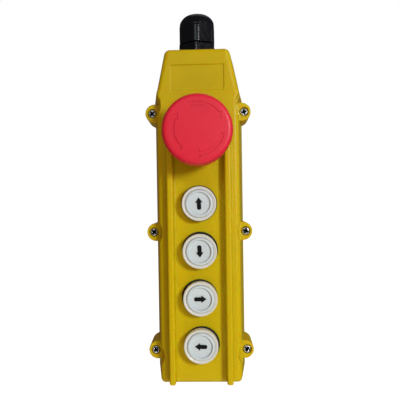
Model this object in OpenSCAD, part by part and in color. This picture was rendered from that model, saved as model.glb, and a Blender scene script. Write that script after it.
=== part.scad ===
// Hand-held pendant control station: two-part moulded enclosure, four guarded
// push buttons, one mushroom emergency stop and a domed cable gland on top.
// The station hangs upright. +Z is up and the buttons face -Y. The origin lies
// on the gland's axis, in the middle of the cable seal.

/* [Enclosure] */
// Height of the enclosure, without the gland
body_h = 206; // [200:0.5:215]
// Depth of the enclosure, from the front panel to the back
body_d = 38; // [38:0.5:44]
// Width of the front face over the buttons
front_w = 49.8; // [49:0.2:54]
// Width at the back, which is wider for mould draft
back_w = 58.4; // [57:0.2:60]
// Width of the front face at the top edge of the head
head_top_w = 40; // [38:0.2:42]
// Width of the front face at the flare below the head
flare_w = 50.2; // [49.8:0.2:52]
// Distance from the top edge down to the flare
flare_drop = 27; // [24:0.5:30]
// Radius of the outer edges
edge_r = 3; // [2:0.5:3]
// Wall thickness
wall = 2.6; // [2.4:0.1:3]
// Depth of the front cover behind the panel
cover_d = 11.5; // [11:0.5:12]

/* [Ears and cover screws] */
// Distance from the centre plane to the middle of an ear
ear_x = 27.3; // [27:0.1:28]
// Radius of an ear
ear_r = 5.7; // [5.4:0.1:6.2]
// Distance from the centre plane to a cover screw
screw_x = 28.8; // [28.4:0.1:29.2]
// Distance from the top edge down to the upper pair of screws
screw_drop = 38; // [37:0.5:39]
// Spacing between the pairs of screws
screw_pitch = 74.5; // [74:0.25:75.5]
// Distance from the front panel back to the ears
ear_depth = 7.5; // [7:0.5:8]

/* [Button guards] */
// Distance from the centre plane to the middle of a guard rib
rib_x = 17.6; // [17.2:0.1:18.4]
// Thickness of a guard rib
rib_w = 3.7; // [3:0.1:4]
// Height of a guard rib above the panel
rib_h = 6.4; // [5:0.1:8]

/* [Push buttons] */
// Distance from the top edge down to the first button
button_drop = 95; // [94:0.5:96]
// Spacing between the buttons
button_pitch = 29; // [28.5:0.25:29]
// Outer diameter of a bezel
bezel_d = 21; // [20.6:0.2:22]
// Diameter of a button cap
cap_d = 17; // [16.6:0.2:17.4]
// Diameter of the dish in a cap
dish_d = 14; // [12:0.2:14.2]
// Travel of a button
button_travel = 3; // [2:0.25:3]

/* [Emergency stop] */
// Distance from the top edge down to the emergency stop
stop_drop = 53; // [52.5:0.5:53.5]
// Diameter of the mushroom head
stop_d = 40.8; // [38:0.2:42]
// Height of the mushroom's face above the panel
stop_h = 31; // [30:0.5:32]
// Travel of the emergency stop
stop_travel = 4.5; // [3:0.25:4.5]

/* [Cable gland] */
// Width across the flats of the gland's hexagons
gland_flats = 22; // [22:0.5:23]
// Diameter of the gland's thread
gland_thread_d = 18.6; // [18:0.1:18.8]
// Height of the gland above the enclosure
gland_h = 26.8; // [26.4:0.2:28]
// Diameter of the cable that the seal holds
cable_d = 9; // [6:0.5:9]

/* [Hidden] */
$fn = 64;
corner_fn = 24;
head_fn = 96;
eps = 0.01;
// Gap between two faces that press on each other
face_gap = 0.02;
// How far a cutter reaches past a face
over = 1;
// Gaps: around a fixed part, around a screw's shank, around a moving part
snug = 0.05;
clear = 0.2;
play = 0.3;

// Places along Z, from the seal's middle down
seal_rise = 13;
top_z = -seal_rise;
bottom_z = top_z - body_h;
// Places along Y: the gland's axis is 22 mm behind the panel
axis_depth = 22;
panel_y = -axis_depth;
back_y = body_d - axis_depth;
parting_y = panel_y + cover_d;

BUTTONS = ["up", "down", "right", "left"];
button_drops = [for (i = [0:3]) button_drop + i * button_pitch];
station_drops = concat([stop_drop], button_drops);
screw_drops = [for (i = [0:2]) screw_drop + i * screw_pitch];

// Enclosure: at its top edge the head's back is wider than its front by head_draft
head_draft = 8.4;
flare_back_w = back_w + 0.2;
gasket_inset = 1.4;
gasket_h = 1.4;
recess_w = 32.8;
recess_drop = [9.6, 25.6];
recess_depth = 0.5;
guard_top_drop = stop_drop + 5.5;
rib_edge_r = 1.1;

// Reliefs in the cover beside its screws, and how far each pair sits above them
relief_r = 9.4;
relief_cut = 1.9;
relief_rise = [4, 0, -2];
relief_wall = 1.5;

// Waist below the head, cut through the whole depth along the sides' draft
waist_cut = 1.4;
waist_drop = 34;
draft = atan((back_w - front_w) / 2 / body_d);

// Heights of the cover screws' bosses, seats and inserts, from the panel
boss_back = -33;
boss_wall = 1.5;
screw_seat = -ear_depth - 2.1;
screw_length = 16;
insert_r = 2.3;
insert_top = -cover_d - clear;
insert_length = 7.8;
insert_end = insert_top - insert_length;

// Heights above the panel, positive towards the user
bezel_top = 6.8;
gasket_t = 1;
floor_top = 1.7;
cap_top = 7.4;
cap_bottom = 4.8;
dish_depth = 1.4;
barrel_end = -11;
barrel_ledge = -9.8;
stem_end = -12;
nut_t = 3;
block_top = -15.5;
slot_top = -18;
foot_top = -25.1;
plate_top = -31.5;
plate_bottom = -33;
cavity_floor = -(body_d - wall);
stop_barrel_end = -13;
stop_nut_t = 4.5;
spindle_top = 26;
sleeve_top_h = 6;
sleeve_ledge = 4.5;
sleeve_end = -5;

// Radii in a push button
bezel_bore_r = cap_d / 2 + play;
barrel_r = 7.9;
barrel_bore_r = 6.9;
cap_skirt_r = 6.6;
cap_stem_r = 2.7;
plunger_r = 2.3;
guide_r = plunger_r + play;
neck_r = 1.5;
nut_r = 11.4;
gasket_lip = 0.4;

// Chamfers: at a bore's lip, at an outer rim, and the cap skirt's wall and end
lip_edge = 0.3;
rim_edge = 0.6;
cap_edge = 0.2;
skirt_wall = 1;
skirt_end = -1;

// Arrow on a cap: length, head's width and length, shaft's width, thickness
arrow_length = 7.4;
arrow_head = [4.7, 3.5];
arrow_shaft_w = 2.1;
arrow_t = 0.35;
ARROW_TURNS = [3, 183, -90, 88];

// Emergency stop
collar_r = 14.4;
collar_top = 10;
stop_barrel_r = 11;
stop_nut_r = 16.6;
sleeve_r = 7.6;
sleeve_wall = 0.9;
collar_slope = 2.5;
collar_side = 3.5;
collar_floor = 1.2;
spindle_r = 5;
head_bottom = 12.5;
head_hollow_r = 17;
head_hollow_top = 20;
head_rim_r = 3;
head_draft_r = 0.4;
hub_r = 7.8;
hub_bottom = 15;
hinge_gap = 0.06;

// Engraved arrows on the mushroom: angles, radii of the shaft, point's overhang
turn_tail = 230;
turn_neck = 155;
turn_point = 140;
turn_low = 13;
turn_high = 15.3;
turn_spread = 1.4;
turn_depth = 0.4;
arc_steps = 10;

// Gland, heights above the enclosure
gland_turn = 26;
seal_r = 7.6;
seal_rim = 1;
washer_r = 11.4;
thread_end = -10;
locknut_t = 5;
dome_r = 8;
dome_x = 3.4;
dome_cone = 1.5;
washer_t = 1.2;
gland_body_h = 7;
nut_bottom = 7.8;
sleeve_top = 18;
gland_bore_r = 6;
gland_mouth_r = 5.6;
hex_r = gland_flats / sqrt(3);
hex_chamfer = 0.9;
sleeve_out_r = gland_thread_d / 2 - 0.4;
nut_rise = 1;

// Contact blocks: foot and tower on the plate, slot for the bridge
foot_w = 36;
foot_h = 20;
tower_w = 19;
tower_h = 16;
slot_h = 9;
strip_w = 5;
strip_t = 1;
strip_inner = 4.5;
strip_bend = 10.5;
strip_outer = 17.5;
terminal_x = 14.5;
terminal_hole = 4.6;
terminal_screw_length = 5;
foot_floor = 1.5;
block_hole = 5;
bridge_w = 15;
bridge_h = 4;
bridge_t = 0.8;
bridge_top = -20;
stop_bridge_top = -19.5;
plunger_neck = 3;
block_screw_rise = 7.5;

// Carrier plate and the posts that it is screwed to
plate_w = 38;
plate_margin = 12;
carrier_x = 12;
post_r = 3.4;
post_hole = 1.4;
plate_screw_length = 5;

// Cross recess of a screw, as parts of its head's radius and height
cross_w = 1.3;
cross_slot = 0.3;
cross_floor = 0.35;

// Springs: radii of a coil and its wire, sides of the wire, steps in a turn, turns
spring = [4.3, 0.4];
stop_spring_size = [4.6, 0.5];
wire_sides = 6;
coil_steps = 14;
coil_turns = 6;

// Screws: shank radius, head radius, head height
m3 = [1.5, 2.6, 1.8];
small_screw = [1.4, 2.5, 1.4];

YELLOW = [0.93, 0.78, 0.08];
RED = [0.86, 0.10, 0.20];
WHITE = [0.87, 0.88, 0.86];
BLACK = [0.09, 0.09, 0.10];
RUBBER = [0.06, 0.06, 0.06];
GREY = [0.35, 0.36, 0.38];
BRASS = [0.80, 0.62, 0.28];
STEEL = [0.75, 0.76, 0.78];

// Puts a shape on the front panel: X stays, Y goes up, Z points at the user
module on_panel(drop) {
    translate([0, panel_y, top_z - drop]) rotate([90, 0, 0]) children();
}

// Repeats a shape at each cover screw, on both sides
module at_cover_screws(x) {
    for (drop = screw_drops, side = [-1, 1])
        on_panel(drop) translate([side * x, 0, 0]) children();
}

// A cylinder between two heights
module rod(r, low, high) {
    translate([0, 0, low]) cylinder(r = r, h = high - low);
}

// A tube between two heights
module tube(r_out, r_in, low, high) {
    difference() {
        rod(r_out, low, high);
        rod(r_in, low - over, high + over);
    }
}

// A box between two heights, centred on the axis
module bar(width, height, low, high) {
    translate([-width / 2, -height / 2, low]) cube([width, height, high - low]);
}

// A pan-head screw that points down, with its head's seat at the given height
module screw(size, seat, length) {
    rod(size[0], seat - length, seat + eps);
    difference() {
        rod(size[1], seat, seat + size[2]);
        for (turn = [45, 135]) rotate([0, 0, turn])
            bar(size[1] * cross_w, size[1] * cross_slot,
                seat + size[2] * cross_floor, seat + size[2] + over);
    }
}

// A wire spring along Z between two heights
module coil_spring(r, wire_r, turns, low, high) {
    sides = wire_sides;
    steps = coil_steps;
    count = turns * steps;
    rise = high - low - 2 * wire_r;
    points = [for (i = [0:count], k = [0:sides - 1])
        let (turn = 360 * i / steps, side = 360 * k / sides, reach = r + wire_r * cos(side))
        [reach * cos(turn), reach * sin(turn), low + wire_r + rise * i / count + wire_r * sin(side)]];
    walls = [for (i = [0:count - 1], k = [0:sides - 1])
        let (next = (k + 1) % sides)
        [i * sides + k, (i + 1) * sides + k, (i + 1) * sides + next, i * sides + next]];
    ends = [[for (k = [0:sides - 1]) k], [for (k = [sides - 1:-1:0]) count * sides + k]];
    polyhedron(points, concat(walls, ends), convexity = 10);
}

// Rounded block from low_z to high_z, wider at its back than at its front
module rounded_block(low_z, high_z, low_front, low_back, high_front, high_back) {
    r = edge_r;
    hull() for (side = [-1, 1], end = [0, 1], face = [0, 1]) {
        half = (end == 0 ? (face == 0 ? low_front : low_back)
                         : (face == 0 ? high_front : high_back)) / 2;
        translate([side * (half - r), face == 0 ? panel_y + r : back_y - r,
                   end == 0 ? low_z + r : high_z - r])
            sphere(r, $fn = corner_fn);
    }
}

// Square-edged block of the same form, drawn in from the outside by inset
module plain_block(low_z, high_z, low_front, low_back, high_front, high_back, inset) {
    hull() for (side = [-1, 1], end = [0, 1], face = [0, 1]) {
        half = (end == 0 ? (face == 0 ? low_front : low_back)
                         : (face == 0 ? high_front : high_back)) / 2 - inset;
        translate([side * half - (side > 0 ? eps : 0),
                   face == 0 ? panel_y + inset : back_y - inset - eps,
                   end == 0 ? low_z : high_z - eps])
            cube(eps);
    }
}

// The enclosure's outside
module outside() {
    head_low = top_z - flare_drop - edge_r;
    difference() {
        union() {
            rounded_block(bottom_z, head_low + 2 * edge_r, front_w, back_w, front_w, back_w);
            rounded_block(head_low, top_z, flare_w, flare_back_w,
                          head_top_w, head_top_w + head_draft);
        }
        for (side = [-1, 1])
            translate([side * (front_w / 2 - waist_cut + relief_r), panel_y, top_z - waist_drop])
                rotate([-90, 0, -side * draft])
                    translate([0, 0, -over]) cylinder(r = relief_r, h = body_d + 2 * over);
    }
}

// The enclosure's outside drawn in evenly, for the cavity and the gasket's seat
module inside(inset) {
    head_low = top_z - flare_drop - edge_r;
    plain_block(bottom_z + inset, head_low, front_w, back_w, front_w, back_w, inset);
    plain_block(head_low - eps, top_z - inset, flare_w, flare_back_w,
                head_top_w + inset / 2, head_top_w + head_draft + inset / 2, inset);
}

// Everything between two places along Y
module between(low_y, high_y) {
    translate([-back_w, low_y, bottom_z - over])
        cube([2 * back_w, high_y - low_y, body_h + 2 * over]);
}

module rear_housing() {
    color(YELLOW) difference() {
        union() {
            difference() {
                union() {
                    intersection() {
                        outside();
                        between(parting_y, back_y + over);
                    }
                    at_cover_screws(ear_x) rod(ear_r, boss_back, -cover_d);
                }
                intersection() {
                    inside(wall);
                    between(parting_y - over, back_y);
                }
            }
            carrier_points() rod(post_r, cavity_floor - eps, plate_bottom);
        }
        // Seat of the gasket along the rim
        intersection() {
            inside(gasket_inset);
            between(parting_y - over, parting_y + gasket_h);
        }
        // Hole for the gland
        translate([0, 0, top_z - wall - over])
            cylinder(r = gland_thread_d / 2 + clear, h = wall + 2 * over);
        // Holes for the cover screws' inserts, and relief for their points
        at_cover_screws(screw_x) {
            rod(insert_r, insert_end, -cover_d + over);
            rod(m3[0] + play, boss_back + boss_wall, insert_end + over);
        }
        carrier_points() rod(small_screw[0], cavity_floor - post_hole, plate_bottom + over);
    }
}

// A guard rib beside the buttons, rounded along both edges of its top
module guard_rib(side) {
    length = body_h - guard_top_drop;
    flat_w = rib_w - 2 * rib_edge_r;
    on_panel(body_h) translate([side * rib_x, 0, 0]) {
        translate([-rib_w / 2, 0, -wall / 2]) cube([rib_w, length, rib_h - rib_edge_r + wall / 2]);
        translate([-flat_w / 2, 0, 0]) cube([flat_w, length, rib_h]);
        for (edge = [-1, 1])
            translate([edge * flat_w / 2, 0, rib_h - rib_edge_r])
                rotate([-90, 0, 0]) cylinder(r = rib_edge_r, h = length);
    }
}

// Columns at the reliefs that clear a screwdriver beside each cover screw
module reliefs(r, low, high) {
    for (i = [0:2], side = [-1, 1])
        on_panel(screw_drops[i] - relief_rise[i])
            translate([side * (front_w / 2 - relief_cut + relief_r), 0, 0])
                rod(r, low, high);
}

module front_cover() {
    color(YELLOW) difference() {
        union() {
            difference() {
                union() {
                    difference() {
                        intersection() {
                            outside();
                            between(panel_y - over, parting_y);
                        }
                        reliefs(relief_r, -ear_depth, over);
                    }
                    at_cover_screws(ear_x) rod(ear_r, -cover_d, -ear_depth);
                }
                difference() {
                    intersection() {
                        inside(wall);
                        between(panel_y, parting_y + over);
                    }
                    reliefs(relief_r + relief_wall, -ear_depth - relief_wall, over);
                }
            }
            for (side = [-1, 1]) guard_rib(side);
        }
        // Shallow field for a label
        on_panel(recess_drop[1]) translate([-recess_w / 2, 0, -recess_depth])
            cube([recess_w, recess_drop[1] - recess_drop[0], recess_depth + over]);
        on_panel(stop_drop) rod(stop_barrel_r + clear, -wall - over, rib_h + over);
        for (drop = button_drops) on_panel(drop) rod(barrel_r + clear, -wall - over, over);
        at_cover_screws(screw_x) {
            rod(m3[0] + clear, -cover_d - over, -ear_depth + over);
            rod(m3[1] + play, screw_seat, -ear_depth + over);
        }
    }
}

module cover_gasket() {
    color(RUBBER) intersection() {
        difference() {
            inside(gasket_inset);
            inside(wall);
        }
        between(parting_y, parting_y + gasket_h);
    }
}

module cover_screws() {
    color(STEEL) at_cover_screws(screw_x) screw(m3, screw_seat, screw_length);
}

module screw_inserts() {
    color(BRASS) at_cover_screws(screw_x) tube(insert_r, m3[0], insert_end, insert_top);
}

// Places shapes at the carrier plate's four fixing points, halfway between blocks
module carrier_points() {
    for (i = [0, 3], side = [-1, 1])
        on_panel((station_drops[i] + station_drops[i + 1]) / 2)
            translate([side * carrier_x, 0, 0]) children();
}

// Cable gland ------------------------------------------------------------------

module at_gland() {
    translate([0, 0, top_z]) rotate([0, 0, gland_turn]) children();
}

module gland_body() {
    color(BLACK) at_gland() difference() {
        union() {
            intersection() {
                rod_hex(washer_t, gland_body_h);
                translate([0, 0, washer_t])
                    cylinder(r1 = hex_r - hex_chamfer, r2 = hex_r - hex_chamfer + gland_body_h,
                             h = gland_body_h);
            }
            rod(gland_thread_d / 2, thread_end, washer_t + eps);
            rod(sleeve_out_r, gland_body_h - eps, sleeve_top);
        }
        rod(gland_bore_r, thread_end - over, gland_body_h + over);
        rod(seal_r, gland_body_h, sleeve_top + over);
    }
}

// Hexagonal prism between two heights
module rod_hex(low, high) {
    translate([0, 0, low]) cylinder(r = hex_r, h = high - low, $fn = 6);
}

module gland_washer() {
    color(RUBBER) at_gland() tube(washer_r, gland_thread_d / 2 + snug, 0, washer_t);
}

module gland_locknut() {
    color(BLACK) at_gland() difference() {
        rod_hex(-wall - locknut_t, -wall);
        rod(gland_thread_d / 2 + snug, -wall - locknut_t - over, 0);
    }
}

module gland_seal() {
    color(RUBBER) at_gland() tube(seal_r - snug, cable_d / 2, gland_body_h + snug, sleeve_top + seal_rim);
}

module gland_cap_nut() {
    dome_low = gland_h - dome_r;
    body_r = hex_r + clear;
    color(BLACK) at_gland() difference() {
        intersection() {
            rod_hex(nut_bottom, gland_h + over);
            rotate_extrude() polygon(concat(
                [[0, nut_bottom], [body_r - nut_rise, nut_bottom], [body_r, nut_bottom + nut_rise],
                 [body_r, dome_low - dome_cone]],
                [for (a = [0:6:90]) [dome_x + dome_r * cos(a), dome_low + dome_r * sin(a)]],
                [[0, gland_h]]));
        }
        rod(sleeve_out_r + snug, nut_bottom - over, sleeve_top + clear);
        rod(seal_r + play, nut_bottom, sleeve_top + seal_rim + play);
        rod(gland_mouth_r, nut_bottom, gland_h + over);
    }
}

// Push buttons -----------------------------------------------------------------

module bezel() {
    color(WHITE) rotate_extrude() polygon([
        [barrel_bore_r, floor_top], [bezel_bore_r, floor_top],
        [bezel_bore_r, bezel_top - lip_edge], [bezel_bore_r + lip_edge, bezel_top],
        [bezel_d / 2 - rim_edge, bezel_top], [bezel_d / 2, bezel_top - rim_edge],
        [bezel_d / 2, gasket_t], [barrel_r, gasket_t], [barrel_r, barrel_end],
        [cap_stem_r + play, barrel_end], [cap_stem_r + play, barrel_ledge],
        [barrel_bore_r, barrel_ledge]]);
}

module bezel_gaskets() {
    color(RUBBER) for (drop = button_drops)
        on_panel(drop) tube(bezel_d / 2 + gasket_lip, barrel_r + snug, 0, gasket_t);
}

module bezel_nuts() {
    color(GREY) for (drop = button_drops) on_panel(drop) difference() {
        translate([0, 0, -wall - nut_t]) cylinder(r = nut_r, h = nut_t, $fn = 6);
        rod(barrel_r + snug, -wall - nut_t - over, 0);
    }
}

module cap() {
    color(WHITE) rotate_extrude() polygon([
        [0, cap_top - dish_depth], [dish_d / 2 - lip_edge, cap_top - dish_depth],
        [dish_d / 2, cap_top - dish_depth + lip_edge], [dish_d / 2, cap_top - cap_edge],
        [dish_d / 2 + cap_edge, cap_top], [cap_d / 2 - rim_edge, cap_top],
        [cap_d / 2, cap_top - rim_edge], [cap_d / 2, cap_bottom], [cap_skirt_r, cap_bottom],
        [cap_skirt_r, skirt_end], [cap_skirt_r - skirt_wall, skirt_end],
        [cap_skirt_r - skirt_wall, cap_bottom], [cap_stem_r, cap_bottom],
        [cap_stem_r, stem_end], [0, stem_end]]);
}

// An arrow that points up, with a round end to its shaft
module arrow_shape() {
    shaft_low = -arrow_length / 2 + arrow_shaft_w / 2;
    neck = arrow_length / 2 - arrow_head[1];
    polygon([[-arrow_shaft_w / 2, shaft_low], [arrow_shaft_w / 2, shaft_low],
             [arrow_shaft_w / 2, neck], [arrow_head[0] / 2, neck], [0, arrow_length / 2],
             [-arrow_head[0] / 2, neck], [-arrow_shaft_w / 2, neck]]);
    translate([0, shaft_low]) circle(d = arrow_shaft_w);
}

module arrow(turn) {
    floor_z = cap_top - dish_depth;
    color(BLACK) translate([0, 0, floor_z]) rotate([0, 0, turn])
        linear_extrude(arrow_t) arrow_shape();
}

module return_spring() {
    color(STEEL) coil_spring(spring[0], spring[1], coil_turns, barrel_ledge + snug, cap_bottom - snug);
}

// Contact blocks ----------------------------------------------------------------

module contact_block() {
    color(GREY) difference() {
        union() {
            bar(foot_w, foot_h, plate_top, foot_top);
            bar(tower_w, tower_h, foot_top - eps, block_top);
        }
        bar(tower_w + 2 * over, slot_h, foot_top, slot_top);
        rod(guide_r, slot_top - over, block_top + over);
        rod(neck_r + play, plate_top + foot_floor, foot_top + over);
        for (side = [-1, 1]) {
            translate([side * terminal_x, 0, 0])
                rod(small_screw[0], foot_top - terminal_hole, foot_top + over);
            translate([0, side * block_screw_rise, 0])
                rod(small_screw[0], plate_top - over, plate_top + block_hole);
        }
    }
}

module plunger(bridge_at) {
    color(BLACK) {
        rod(plunger_r, bridge_at, stem_end - face_gap);
        rod(neck_r, bridge_at - plunger_neck, bridge_at + eps);
    }
}

module bridge(bridge_at) {
    color(BRASS) difference() {
        bar(bridge_w, bridge_h, bridge_at - bridge_t, bridge_at - face_gap);
        rod(neck_r + face_gap, bridge_at - bridge_t - over, bridge_at + over);
    }
}

// A flat stretch of a contact strip on one side, between two places along X
module strip(side, near, far, low) {
    translate([side * (near + far) / 2, 0, 0]) bar(far - near, strip_w, low, low + strip_t);
}

// The hole for a terminal screw through a strip
module terminal_hole(side) {
    translate([side * terminal_x, 0, 0])
        rod(small_screw[0] + clear, foot_top - over, foot_top + strip_t + over);
}

// The two contact strips of a normally open block, lying on its foot
module open_strips() {
    for (side = [-1, 1]) difference() {
        strip(side, strip_inner, strip_outer, foot_top);
        terminal_hole(side);
    }
}

// The two contact strips of a normally closed block, bent up and in over the bridge
module closed_strips() {
    lift = stop_bridge_top + play;
    for (side = [-1, 1]) difference() {
        union() {
            strip(side, strip_bend, strip_outer, foot_top);
            translate([side * (strip_bend + strip_t / 2), 0, 0])
                bar(strip_t, strip_w, foot_top, lift + strip_t);
            strip(side, strip_inner, strip_bend + strip_t, lift);
        }
        terminal_hole(side);
    }
}

module fixed_contacts() {
    color(BRASS) for (drop = button_drops) on_panel(drop) open_strips();
}

module stop_contacts() {
    color(BRASS) on_panel(stop_drop) closed_strips();
}

module terminal_screws() {
    color(STEEL) for (drop = station_drops, side = [-1, 1])
        on_panel(drop) translate([side * terminal_x, 0, 0])
            screw(small_screw, foot_top + strip_t, terminal_screw_length);
}

module block_screws() {
    color(STEEL) for (drop = station_drops, side = [-1, 1])
        on_panel(drop) translate([0, side * block_screw_rise, plate_bottom]) mirror([0, 0, 1])
            screw(small_screw, 0, plate_screw_length);
}

module carrier_plate() {
    low_drop = button_drops[3] + plate_margin;
    high_drop = stop_drop - plate_margin;
    color(STEEL) difference() {
        on_panel(low_drop) translate([-plate_w / 2, 0, plate_bottom])
            cube([plate_w, low_drop - high_drop, plate_top - plate_bottom]);
        carrier_points() rod(small_screw[0] + clear, plate_bottom - over, plate_top + over);
        for (drop = station_drops, side = [-1, 1])
            on_panel(drop) translate([0, side * block_screw_rise, 0])
                rod(small_screw[0] + clear, plate_bottom - over, plate_top + over);
    }
}

module carrier_screws() {
    color(STEEL) carrier_points() screw(small_screw, plate_top, plate_screw_length);
}

// Emergency stop -----------------------------------------------------------------

module stop_head() {
    r = stop_d / 2;
    edge_x = r - head_rim_r;
    edge_z = stop_h - head_rim_r;
    color(RED) on_panel(stop_drop) difference() {
        rotate_extrude($fn = head_fn) polygon(concat(
            [[0, hub_bottom], [hub_r, hub_bottom], [hub_r, head_hollow_top],
             [head_hollow_r, head_hollow_top], [head_hollow_r, head_bottom],
             [r - head_draft_r - rim_edge, head_bottom],
             [r - head_draft_r, head_bottom + rim_edge]],
            [for (a = [0:10:90]) [edge_x + head_rim_r * cos(a), edge_z + head_rim_r * sin(a)]],
            [[0, stop_h]]));
        for (i = [0:2]) rotate([0, 0, -120 * i]) turn_arrow();
        rod(spindle_r + hinge_gap, hub_bottom - over, spindle_top + play);
    }
}

// An engraved clockwise arrow around the face, from its tail to its point
module turn_arrow() {
    translate([0, 0, stop_h - turn_depth]) linear_extrude(turn_depth + over) polygon(bent_arrow());
}

// A point on a circle around the axis
function at_angle(r, a) = [r * cos(a), r * sin(a)];

// Outline of an arrow bent around the axis, its shaft between two radii
function bent_arrow() =
    let (step = (turn_neck - turn_tail) / arc_steps)
    concat([for (i = [0:arc_steps]) at_angle(turn_high, turn_tail + step * i)],
           [at_angle(turn_high + turn_spread, turn_neck),
            at_angle((turn_low + turn_high) / 2, turn_point),
            at_angle(turn_low - turn_spread, turn_neck)],
           [for (i = [arc_steps:-1:0]) at_angle(turn_low, turn_tail + step * i)]);

module stop_spindle() {
    color(GREY) on_panel(stop_drop) rotate_extrude() polygon([
        [0, spindle_top], [spindle_r, spindle_top], [spindle_r, sleeve_top_h],
        [sleeve_r, sleeve_top_h], [sleeve_r, sleeve_end], [sleeve_r - sleeve_wall, sleeve_end],
        [sleeve_r - sleeve_wall, sleeve_ledge], [plunger_r, sleeve_ledge],
        [plunger_r, stem_end], [0, stem_end]]);
}

module stop_collar() {
    color(BLACK) on_panel(stop_drop) rotate_extrude() polygon([
        [sleeve_r + play, collar_top], [collar_r - collar_slope, collar_top],
        [collar_r, gasket_t + collar_side], [collar_r, gasket_t], [stop_barrel_r, gasket_t],
        [stop_barrel_r, stop_barrel_end], [plunger_r + play, stop_barrel_end],
        [plunger_r + play, stop_barrel_end + collar_floor],
        [sleeve_r + play, stop_barrel_end + collar_floor]]);
}

module stop_gasket() {
    color(RUBBER) on_panel(stop_drop) tube(collar_r + gasket_lip, stop_barrel_r + snug, 0, gasket_t);
}

module stop_nut() {
    color(GREY) on_panel(stop_drop) difference() {
        translate([0, 0, -wall - stop_nut_t]) cylinder(r = stop_nut_r, h = stop_nut_t, $fn = 6);
        rod(stop_barrel_r + snug, -wall - stop_nut_t - over, 0);
    }
}

module stop_spring() {
    color(STEEL) on_panel(stop_drop)
        coil_spring(stop_spring_size[0], stop_spring_size[1], coil_turns,
                    stop_barrel_end + collar_floor + snug, sleeve_ledge - snug);
}

rear_housing();
front_cover();
cover_gasket();
cover_screws();
screw_inserts();
gland_body();
gland_washer();
gland_locknut();
gland_seal();
gland_cap_nut();
bezel_gaskets();
bezel_nuts();
fixed_contacts();
terminal_screws();
block_screws();
carrier_plate();
carrier_screws();
stop_head();
stop_spindle();
stop_collar();
stop_gasket();
stop_nut();
stop_spring();
stop_contacts();
on_panel(stop_drop) contact_block();  // contact_block_stop
on_panel(stop_drop) plunger(stop_bridge_top);  // plunger_stop
on_panel(stop_drop) bridge(stop_bridge_top);  // bridge_stop

for (i = [0:3]) {
    name = BUTTONS[i];
    drop = button_drops[i];
    on_panel(drop) bezel();
    on_panel(drop) cap();
    on_panel(drop) arrow(ARROW_TURNS[i]);
    on_panel(drop) return_spring();
    on_panel(drop) contact_block();
    on_panel(drop) plunger(bridge_top);
    on_panel(drop) bridge(bridge_top);
}
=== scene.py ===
"""Looks of the pendant control station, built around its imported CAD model.

The moulded pieces are described by signed distances: how far a point is outside
a shape, negative inside it. A grid of those distances is turned into a mesh
whose points lie on the shape itself, so that every edge gets its moulded
radius. Shapes are written in panel coordinates, in millimetres: x to the right,
h out of the front panel towards the user, and d down from the top edge.
"""

import math

import bmesh
import bpy
import numpy as np
from mathutils import Matrix, Vector


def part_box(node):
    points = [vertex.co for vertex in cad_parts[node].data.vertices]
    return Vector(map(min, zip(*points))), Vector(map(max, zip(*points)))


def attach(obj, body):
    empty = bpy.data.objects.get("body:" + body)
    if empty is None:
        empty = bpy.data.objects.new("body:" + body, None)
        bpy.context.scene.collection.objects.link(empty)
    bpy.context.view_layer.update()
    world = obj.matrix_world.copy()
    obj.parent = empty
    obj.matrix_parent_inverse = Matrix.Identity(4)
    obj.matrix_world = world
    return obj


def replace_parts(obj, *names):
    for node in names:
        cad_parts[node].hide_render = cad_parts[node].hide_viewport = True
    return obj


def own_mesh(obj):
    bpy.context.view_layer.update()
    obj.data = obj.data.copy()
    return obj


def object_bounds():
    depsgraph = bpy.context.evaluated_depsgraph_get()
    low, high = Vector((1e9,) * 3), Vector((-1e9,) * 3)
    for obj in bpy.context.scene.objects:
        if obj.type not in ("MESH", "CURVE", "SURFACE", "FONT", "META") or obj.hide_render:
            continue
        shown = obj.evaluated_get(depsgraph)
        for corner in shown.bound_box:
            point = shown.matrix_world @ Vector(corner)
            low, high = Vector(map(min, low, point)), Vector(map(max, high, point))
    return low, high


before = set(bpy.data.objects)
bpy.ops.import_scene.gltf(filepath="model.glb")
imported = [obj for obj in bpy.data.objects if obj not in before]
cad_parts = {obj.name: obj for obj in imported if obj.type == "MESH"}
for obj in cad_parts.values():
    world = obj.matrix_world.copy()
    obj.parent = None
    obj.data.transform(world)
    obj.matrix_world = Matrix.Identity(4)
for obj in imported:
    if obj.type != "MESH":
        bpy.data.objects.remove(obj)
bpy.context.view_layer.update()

MM = 0.001

# ---------------------------------------------------------------- sizes in mm

# Straight body, tapered head, and the corner where the sides of the two meet
FRONT_W, BACK_W = 49.8, 58.4
FLARE_W, FLARE_BACK_W, FLARE_DROP, FLARE_R, FLARE_FILLET = 50.2, 58.6, 27.0, 3.0, 0.8
HEAD_TOP_W, HEAD_DRAFT = 40.0, 8.4
EDGE_R, INNER_R, PARTING_R = 2.8, 0.8, 0.3
WALL, CAVITY_EDGE_R = 2.6, 0.4
GASKET_INSET, GASKET_H = 1.4, 1.4

# Guard ribs, label field, reliefs beside the screws, waist below the head
RIB_X, RIB_W, RIB_H, RIB_TOP_DROP, RIB_SHORT = 17.6, 3.7, 6.4, 58.5, 0.2
RIB_EDGE_R, RIB_FILLET, RIB_LEAN = 1.1, 1.4, 0.15
RECESS_W, RECESS_LOW, RECESS_HIGH, RECESS_DEPTH = 32.8, 25.6, 9.6, 0.5
RECESS_CORNER_R, RECESS_EDGE_R = 0.5, 0.35
RELIEF_R, RELIEF_CUT, RELIEF_RISE, RELIEF_WALL, RELIEF_EDGE_R = 9.4, 1.9, (4, 0, -2), 1.5, 0.6
WAIST_CUT, WAIST_DROP, WAIST_LIP, WAIST_EDGE_R = 1.4, 34, 0.8, 1.0

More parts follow.
